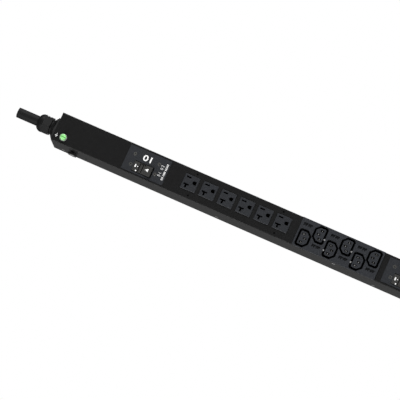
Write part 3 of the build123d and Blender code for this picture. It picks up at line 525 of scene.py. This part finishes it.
def addScrew(shape, stand, screw):
    recess, sink, rim = screw["recess"], screw["sink"], screw["rim"]
    head, cone, shank, length = screw["head"], screw["cone"], screw["shank"], screw["length"]
    under, step = (head, screwForm["step"]) if screw["flatUnder"] else (shank, rim)
    profile = (  # radius and height, from the recess's floor over the head to the shank's end
        (lambda a: recess(a) * screwForm["floor"], -sink),
        (lambda a: recess(a) * screwForm["wall"], -sink * screwForm["wallSink"]),
        (recess, 0),
        (lambda a: max(recess(a) + rim, head * screwForm["landing"]), 0),
        (lambda a: head - rim, 0),
        (lambda a: head, -rim),
        (lambda a: under, -cone),
        (lambda a: shank, -cone - step),
        (lambda a: shank, -length + rim),
        (lambda a: shank - rim, -length),
    )
    skin(shape, [ringOf(shape, stand, radiusAt, height, screwForm["sides"]) for radiusAt, height in profile])


print("cutting the screws")
plateScrew = {"head": 3.05, "cone": 1.3, "shank": 1.75, "length": 11.9, "rim": 0.12, "sink": 1.2,
              "recess": crossRecess(1.65, 0.38), "flatUnder": False}
sideScrew = {**plateScrew, "length": 5.9}
blockScrew = {**plateScrew, "length": 5.4}
buttonScrew = {"head": 4.25, "cone": 0.8, "shank": 1.95, "length": 10.5, "rim": 0.18, "sink": 0.6,
               "recess": hexRecess(1.5), "flatUnder": True, "up": (0, 0.26, 0.97)}


def solidPlaces(node):  # centre, lowest and highest corner of each separate solid of a CAD node
    shape = bmesh.new()
    shape.from_mesh(nodes[node].data)
    bmesh.ops.remove_doubles(shape, verts=shape.verts, dist=weld)
    left, places = set(shape.verts), []
    while left:
        group, edge = set(), [left.pop()]
        while edge:
            vert = edge.pop()
            group.add(vert)
            for link in vert.link_edges:
                other = link.other_vert(vert)
                if other in left:
                    left.discard(other)
                    edge.append(other)
        low = Vector([min(v.co[i] for v in group) for i in range(3)]) / mm
        high = Vector([max(v.co[i] for v in group) for i in range(3)]) / mm
        places.append(((low + high) / 2, low, high))
    shape.free()
    return sorted(places, key=lambda place: tuple(round(c, 3) for c in (-place[0].z, place[0].x, place[0].y)))


screwShapes = bmesh.new()
for middle, low, high in solidPlaces("breaker_screws"):
    tilt = random.uniform(0, math.pi / 2)
    stand = facing((middle.x, low.y, middle.z), front, (math.sin(tilt), 0, math.cos(tilt)))
    addScrew(screwShapes, stand, plateScrew)
makePiece("breakerPlateScrews", screwShapes, nickel, standsFor=("breaker_screws",))

for node, pieceName, screw, finish, slotName in (
        ("cover_screws", "sideCoverScrews", sideScrew, dullZinc, "black_steel"),
        ("block_screws", "couplerBlockScrews", blockScrew, paleZinc, "zinc_steel")):
    screwShapes = bmesh.new()
    for middle, low, high in solidPlaces(node):
        hand = math.copysign(1, middle.x)
        tilt = random.uniform(0, math.pi / 2)
        stand = facing((high.x if hand > 0 else low.x, middle.y, middle.z), (hand, 0, 0),
                       (0, math.sin(tilt), math.cos(tilt)))
        addScrew(screwShapes, stand, screw)
    makePiece(pieceName, screwShapes, finish, standsFor=(node,))

screwShapes = bmesh.new()
for middle, low, high in solidPlaces("button_screws"):
    addScrew(screwShapes, facing((low.x, middle.y, middle.z), (-1, 0, 0), buttonScrew["up"]), buttonScrew)
makePiece("buttonHexScrews", screwShapes, paleZinc, standsFor=("button_screws",))


# Rolled tips of the coupler contacts, where they show in the slots

print("rolling the contact tips")
contactTip = {"radius": 0.44, "length": 1.8, "apart": 0.44, "sink": 0.2, "sides": 16,
              "profile": ((-0.5, 0.55), (-0.44, 0.9), (-0.36, 1), (0.36, 1), (0.44, 0.9), (0.5, 0.55))}


def addRoll(shape, centre):  # a tip that narrows towards both ends
    stand = facing(centre, (0, 0, 1), front)
    rings = []
    for share, swell in contactTip["profile"]:
        rings.append(ringOf(shape, stand, lambda a: contactTip["radius"] * swell, share * contactTip["length"],
                            contactTip["sides"]))
    skin(shape, rings)


for bank in banks:
    tips = bmesh.new()
    for middle, low, high in solidPlaces(f"coupler_clips_{bank}"):
        for hand in (-1, 1):
            addRoll(tips, (middle.x + hand * contactTip["apart"], low.y + contactTip["sink"], middle.z))
    makePiece(f"couplerContactTips{bank}", tips, dullTin, sharp=markAngle)


# Threads

print("winding the threads")
# Root: half a thread's foot as a share of the pitch. Fade: how soon an end rises to its full height.
threadForm = {"root": 0.42, "fade": 2}
glandThread = {"axis": (0, 0, 1), "up": (0, 1, 0), "radius": 11.95, "crest": 12.22, "pitch": 1.5,
               "start": 11.6, "end": 16.2, "around": 64}
insertThread = {"axis": (0, 1, 0), "up": (0, 0, 1), "radius": 2.03, "crest": 1.72, "pitch": 0.7,
                "start": -5.8, "end": -0.1, "around": 24}


def addThread(shape, centre, form):
    stand = facing(centre, form["axis"], form["up"])
    radius, pitch, around = form["radius"], form["pitch"], form["around"]
    steps = int(around * ((form["end"] - form["start"]) / pitch - 1))
    root = pitch * threadForm["root"]
    rings = []
    for n in range(steps + 1):
        angle = math.tau * n / around
        rise = form["start"] + pitch / 2 + pitch * n / around
        fade = min(1, n / around * threadForm["fade"], (steps - n) / around * threadForm["fade"])
        crest = radius + (form["crest"] - radius) * fade
        spoke = Vector((math.cos(angle), math.sin(angle), 0))
        rings.append([shape.verts.new(stand @ (spoke * out + Vector((0, 0, height)))) for out, height in (
            (radius, rise - root), (crest, rise), (radius, rise + root))])
    skin(shape, rings)


cordAxis = middleOf("cord_sheath")
thread = bmesh.new()
addThread(thread, (cordAxis.x, cordAxis.y, 0), glandThread)
makePiece("glandNeckThread", thread, glandNylon, sharp=markAngle)

thread = bmesh.new()
for middle, low, high in solidPlaces("bracket_inserts"):
    addThread(thread, (middle.x, high.y, middle.z), insertThread)
makePiece("bracketInsertThreads", thread, zinc, sharp=markAngle)


# Copper strands of the cord, seen at its cut end

print("twisting the copper")
strand = {"perLayer": (1, 6, 12), "radius": 0.27, "lay": 55.0, "sections": 22, "sides": 8}
copperShape = bmesh.new()
for middle, low, high in solidPlaces("cord_conductors"):
    for layer, count in enumerate(strand["perLayer"]):
        for n in range(count):
            rings = []
            for k in range(strand["sections"] + 1):
                share = k / strand["sections"]
                height = low.z + (high.z - low.z) * share
                swing = math.tau * (n / count + height / strand["lay"])
                out = 2 * layer * strand["radius"]
                centre = Vector((middle.x + out * math.cos(swing), middle.y + out * math.sin(swing), height))
                rings.append(ringOf(copperShape, Matrix.Translation(centre), lambda a: strand["radius"], 0,
                                    strand["sides"]))
            skin(copperShape, rings)
makePiece("cordCopperStrands", copperShape, copper, standsFor=("cord_conductors",))


# White print

printed = {"thickness": 0.05, "lift": 0.01, "foot": -0.02, "corner": 0.02, "cornerSteps": 3, "resolution": 4,
           "weld": 1e-5}


# Digits that fill a box of the given width and height, whose lower left corner is at the stand
def addDigits(shape, digits, stand, width, height, weight, apart=1.0):
    curve = bpy.data.curves.new("digits", "FONT")
    curve.body = digits
    curve.offset = weight
    curve.space_character = apart
    curve.resolution_u = printed["resolution"]
    holder = bpy.data.objects.new("digits", curve)
    bpy.context.scene.collection.objects.link(holder)
    bpy.context.view_layer.update()
    flat = bpy.data.meshes.new_from_object(holder.evaluated_get(bpy.context.evaluated_depsgraph_get()))
    bpy.data.objects.remove(holder)
    bpy.data.curves.remove(curve)
    lowX, highX = min(v.co.x for v in flat.vertices), max(v.co.x for v in flat.vertices)
    lowY, highY = min(v.co.y for v in flat.vertices), max(v.co.y for v in flat.vertices)
    glyphs = bmesh.new()
    glyphs.from_mesh(flat)
    bmesh.ops.remove_doubles(glyphs, verts=glyphs.verts, dist=printed["weld"])
    raised = bmesh.ops.extrude_face_region(glyphs, geom=glyphs.faces[:])
    for item in raised["geom"]:
        if isinstance(item, bmesh.types.BMVert):
            item.co.z = 1
    for vert in glyphs.verts:
        vert.co = stand @ Vector(((vert.co.x - lowX) / (highX - lowX) * width,
                                  (vert.co.y - lowY) / (highY - lowY) * height,
                                  printed["lift"] + vert.co.z * printed["thickness"]))
    done = bpy.data.meshes.new("digits")
    glyphs.to_mesh(done)
    glyphs.free()
    shape.from_mesh(done)
    bpy.data.meshes.remove(done)
    bpy.data.meshes.remove(flat)


def addBar(shape, stand, x, y, width, height, corner=printed["corner"], thickness=printed["thickness"]):
    outline = [(px + x, py + y) for px, py in roundedBox(width, height, corner, printed["cornerSteps"])]
    slabFrom(shape, stand, outline, printed["foot"], printed["lift"] + thickness)


print("printing the plates")
# Each print is x, its drop from the plate's upper edge, and its sizes. A bar of no width parts two groups.
plateMarks = {
    "rim": 1.6, "big": (4.4, 27.1, 14.7, 10.4), "bigWeight": 0.014,
    "small": (-9.6, 65.4, 19.2, 5.0), "smallWeight": -0.012, "smallApart": 1.5,
    "line": (-13.6, 71.4, 3.4), "barGap": 1.0, "groupGap": 1.6, "barCorner": 0.3,
    "bars": (1.0, 0.7, 1.1, 0, 1.0, 1.1, 1.0, 1.0, 0, 1.0, 1.1, 0.7, 1.0, 1.0, 1.1),
}
for bank in banks:
    plateLow, plateHigh = boxOf(f"breaker_plate_{bank}")
    face = plateLow.y
    top = plateHigh.z - plateMarks["rim"]
    shape = bmesh.new()
    x, drop, width, height = plateMarks["big"]
    stand = facing((x, face, top - drop), front, (1, 0, 0))
    addDigits(shape, f"{bank:02d}", stand, width, height, plateMarks["bigWeight"])
    x, drop, width, height = plateMarks["small"]
    stand = facing((x, face, top - drop), front, (0, 0, 1))
    addDigits(shape, f"{2 * bank - 1:02d} {2 * bank:02d}", stand, width, height,
              plateMarks["smallWeight"], plateMarks["smallApart"])
    x, drop, height = plateMarks["line"]
    stand = facing((0, face, top - drop), front, (0, 0, 1))
    for width in plateMarks["bars"]:
        if width:
            addBar(shape, stand, x + width / 2, height / 2, width, height, plateMarks["barCorner"])
        x += width + plateMarks["barGap"] if width else plateMarks["groupGap"]
    makePiece(f"plateNumbers{bank}", shape, ink, sharp=markAngle)

earthSign = {"centre": (-14.6, -5.8), "stem": 3.6, "bars": (4.6, 3.2, 1.8), "pitch": 1.1, "line": 0.6}
shape = bmesh.new()
face = boxOf("front_channel")[0].y
stand = facing((earthSign["centre"][0], face, earthSign["centre"][1]), front, (1, 0, 0))
addBar(shape, stand, 0, earthSign["stem"] / 2, earthSign["line"], earthSign["stem"])
for n, width in enumerate(earthSign["bars"]):
    addBar(shape, stand, 0, -n * earthSign["pitch"], width, earthSign["line"])
makePiece("earthSign", shape, ink, sharp=markAngle)


# Marks on the rockers, each placed from the line where the two halves meet

print("marking the rockers")


def rockerPlace(bank):  # the rocker's middle across the part, and its pin's height
    pin = next(joint["pos_m"] for joint in frame["joints"] if joint["child"] == f"rocker_{bank}")
    return middleOf(f"breaker_rocker_{bank}").x, pin[2] / mm


for bank in banks:
    middleX, pinZ = rockerPlace(bank)
    bend = (middleX, -rockerMark["face"], pinZ + rockerMark["valley"])
    slope = math.radians(rockerMark["bend"])
    nearStand = facing(bend, front, (0, 0, 1))
    farStand = facing(bend, (0, -math.cos(slope), math.sin(slope)), (0, math.sin(slope), math.cos(slope)))
    shape = bmesh.new()
    addBar(shape, nearStand, *rockerMark["bar"], rockerMark["barCorner"])
    for x, y, size in (rockerMark["dot"], rockerMark["lamp"]):
        addBar(shape, nearStand, x, y, size, size, size * rockerMark["roundness"])
    x, apex, base, half = rockerMark["arrow"]
    slabFrom(shape, farStand, ((x, apex), (x - half, base), (x + half, base)), printed["foot"],
             printed["lift"] + printed["thickness"])
    makePiece(f"rockerMarks{bank}", shape, ink, body=f"rocker_{bank}", sharp=markAngle)

# Each groove keeps its form between two dark lines of painted shade: y from the pin, and the line's width
grooveShadeLines = {"lines": ((0.85, 0.5), (6.5, 0.3)), "width": 1.0, "length": 14.2, "corner": 0.05,
                "thickness": 0.02}
for bank in banks:
    middleX, pinZ = rockerPlace(bank)
    stand = facing((middleX, -rockerMark["face"], pinZ), front, (0, 0, 1))
    shape = bmesh.new()
    for y, edge in grooveShadeLines["lines"]:
        for hand in (-1, 1):
            addBar(shape, stand, 0, y + hand * (grooveShadeLines["width"] + edge) / 2, grooveShadeLines["length"], edge,
                   grooveShadeLines["corner"], grooveShadeLines["thickness"])
    # These lines are painted shade, riding on the rocker.
    makePiece(f"rockerGrooveShadeLines{bank}", shape, markAndPaintedShade, body=f"rocker_{bank}",
              sharp=markAngle)


# Dark marks beside each coupler, and a thin ring of painted shade round each well

print("marking the couplers")
# Bars are x and their share of the full height. The upper and lower rows are x and the first mark's drop.
couplerMark = {"groups": (-3.95, 3.95), "bars": ((-2.7, 1.0), (-0.9, 0.75), (0.9, 1.0), (2.7, 0.6)),
               "width": 1.6, "height": 5.2, "corner": 0.25, "thickness": 0.03,
               "upper": (15.25, 12.4), "lower": (-12.75, 37.65), "pitch": 47.65, "count": 3}
for bank in banks:
    blockLow, blockHigh = boxOf(f"coupler_block_{bank}")
    shape = bmesh.new()
    for x, drop in (couplerMark["upper"], couplerMark["lower"]):
        for n in range(couplerMark["count"]):
            place = (x, blockLow.y, blockHigh.z - drop - n * couplerMark["pitch"])
            stand = facing(place, front, (1, 0, 0))
            for group in couplerMark["groups"]:
                for bar, share in couplerMark["bars"]:
                    height = couplerMark["height"] * share
                    addBar(shape, stand, group + bar, (couplerMark["height"] - height) / 2,
                           couplerMark["width"], height, couplerMark["corner"], couplerMark["thickness"])
    makePiece(f"couplerMarks{bank}", shape, markAndPaintedShade, sharp=markAngle)

wellShadeRing = {"shortest": 25.0, "longest": 32.0, "width": 0.5, "height": 0.03, "foot": -0.02, "level": 0.01}


def wellLoops(node):  # the closed lines where a block's face turns down into its wide wells
    shape = bmesh.new()
    shape.from_mesh(nodes[node].data)
    bmesh.ops.remove_doubles(shape, verts=shape.verts, dist=weld)
    face = boxOf(node)[0].y
    onFace = {f: all(abs(v.co.y / mm - face) < wellShadeRing["level"] for v in f.verts) for f in shape.faces}
    nextVerts = {}
    for edge in shape.edges:
        if len(edge.link_faces) == 2 and onFace[edge.link_faces[0]] != onFace[edge.link_faces[1]]:
            for vert in edge.verts:
                nextVerts.setdefault(vert, []).append(edge.other_vert(vert))
    loops = []
    while nextVerts:
        loop = [next(iter(nextVerts))]
        while True:
            onward = [v for v in nextVerts.pop(loop[-1]) if v in nextVerts]
            if not onward:
                break
            loop.append(onward[0])
        points = [v.co / mm for v in loop]
        xs, zs = [p.x for p in points], [p.z for p in points]
        wide, tall = max(xs) - min(xs), max(zs) - min(zs)
        if wellShadeRing["shortest"] < max(wide, tall) < wellShadeRing["longest"]:
            middle = Vector((max(xs) + min(xs), 0, max(zs) + min(zs))) / 2
            loops.append((points, middle, wide, tall))
    shape.free()
    return loops


# Each well gets a thin dark ring of painted shade on the face round its rim.
for bank in banks:
    face = boxOf(f"coupler_block_{bank}")[0].y
    shape = bmesh.new()
    for points, middle, wide, tall in wellLoops(f"coupler_block_{bank}"):
        inner, outer = (1, 1), (1 + 2 * wellShadeRing["width"] / wide, 1 + 2 * wellShadeRing["width"] / tall)
        rings = []
        for scale, out in ((inner, wellShadeRing["foot"]), (inner, wellShadeRing["height"]),
                           (outer, wellShadeRing["height"]), (outer, wellShadeRing["foot"])):
            rings.append([shape.verts.new((middle.x + (p.x - middle.x) * scale[0], face - out,
                                           middle.z + (p.z - middle.z) * scale[1])) for p in points])
        skin(shape, rings + rings[:1], closed=False)
    makePiece(f"couplerWellShadeRings{bank}", shape, markAndPaintedShade, sharp=markAngle)


# Studio: pale floor, soft lights and the photograph's camera

print("setting up the studio")
# Metres here, but the floor's patches are in millimetres as every finish is
studio = {"floor": (0.82, 0.82, 0.82), "floorDark": (0.80, 0.80, 0.80), "floorPatch": 400.0,
          "floorRoughness": 0.7, "floorSize": 3.0, "floorDrop": 0.0005, "frontLight": 0.1, "backLight": 0.3,
          "lightTurn": (-0.6, 0.8), "background": 1.0}
floorMesh = bpy.data.meshes.new("studioFloor")
half, floorZ = studio["floorSize"] / 2, cadBox[0][2] - studio["floorDrop"]
corners = [(x * half, y * half, floorZ) for x, y in ((-1, -1), (1, -1), (1, 1), (-1, 1))]
floorMesh.from_pydata(corners, [], [(0, 1, 2, 3)])
floor = bpy.data.objects.new("studioFloor", floorMesh)
bpy.context.scene.collection.objects.link(floor)
floorPaint, floorTree, floorShader = startFinish("floorPaint", studio["floor"], studio["floorRoughness"])
floorPatches = cloud(floorTree, partSpace(floorTree), studio["floorPatch"])
colourFrom(floorTree, floorShader, floorPatches, studio["floorDark"], studio["floor"])
floorMesh.materials.append(floorPaint)

world = bpy.data.worlds.new("studioAir")
bpy.context.scene.world = world
world.use_nodes = True
air = world.node_tree
backLight = air.nodes["Background"]
backLight.inputs["Color"].default_value = (1, 1, 1, 1)
around = addNode(air, "ShaderNodeTexCoord").outputs["Generated"]
heading = addNode(air, "ShaderNodeSeparateXYZ", {"Vector": around}).outputs["Y"]
strength = addNode(air, "ShaderNodeMapRange", {
    "Value": heading, "From Min": studio["lightTurn"][0], "From Max": studio["lightTurn"][1],
    "To Min": studio["frontLight"], "To Max": studio["backLight"]})
air.links.new(strength.outputs["Result"], backLight.inputs["Strength"])
white = addNode(air, "ShaderNodeBackground", {"Color": (1, 1, 1, 1), "Strength": studio["background"]})
seen = addNode(air, "ShaderNodeLightPath")
choice = addNode(air, "ShaderNodeMixShader", {0: seen.outputs["Is Camera Ray"], 1: backLight.outputs[0],
                                              2: white.outputs[0]})
air.links.new(choice.outputs[0], air.nodes["World Output"].inputs["Surface"])


def addLamp(name, place, target, size, power):
    lamp = bpy.data.lights.new(name, "AREA")
    lamp.shape = "DISK"
    lamp.size = size
    lamp.energy = power
    holder = bpy.data.objects.new(name, lamp)
    holder.location = place
    holder.rotation_euler = (Vector(target) - Vector(place)).to_track_quat("-Z", "Y").to_euler()
    bpy.context.scene.collection.objects.link(holder)


lamps = {  # place, target, size and power in watts
    "softKey": ((2.4, -1.3, 0.6), (0, 0, -0.35), 1.4, 90),
    "softFill": ((-2.4, -1.3, 0.2), (0, 0, -0.4), 1.4, 76),
    "softBack": ((0.6, 2.4, 0.3), (0, 0, -0.4), 1.2, 40),
}
for name, (place, target, size, power) in lamps.items():
    addLamp(name, place, target, size, power)

camera = {"place": (-0.54183, -2.90490, -0.58628), "forward": (0.17981, 0.97758, 0.10955),
          "up": (0.89331, -0.20891, 0.39794), "lens": 160.6, "clipStart": 0.05}
lens = bpy.data.cameras.new("photoCamera")
lens.lens = camera["lens"]
lens.clip_start = camera["clipStart"]
photoCamera = bpy.data.objects.new("photoCamera", lens)
forward, up = Vector(camera["forward"]).normalized(), Vector(camera["up"])
right = forward.cross(up).normalized()
turn = Matrix((right, right.cross(forward), -forward)).transposed().to_4x4()
photoCamera.matrix_world = Matrix.Translation(Vector(camera["place"])) @ turn
bpy.context.scene.collection.objects.link(photoCamera)
bpy.context.scene.camera = photoCamera
bpy.context.scene.view_settings.view_transform = "Standard"
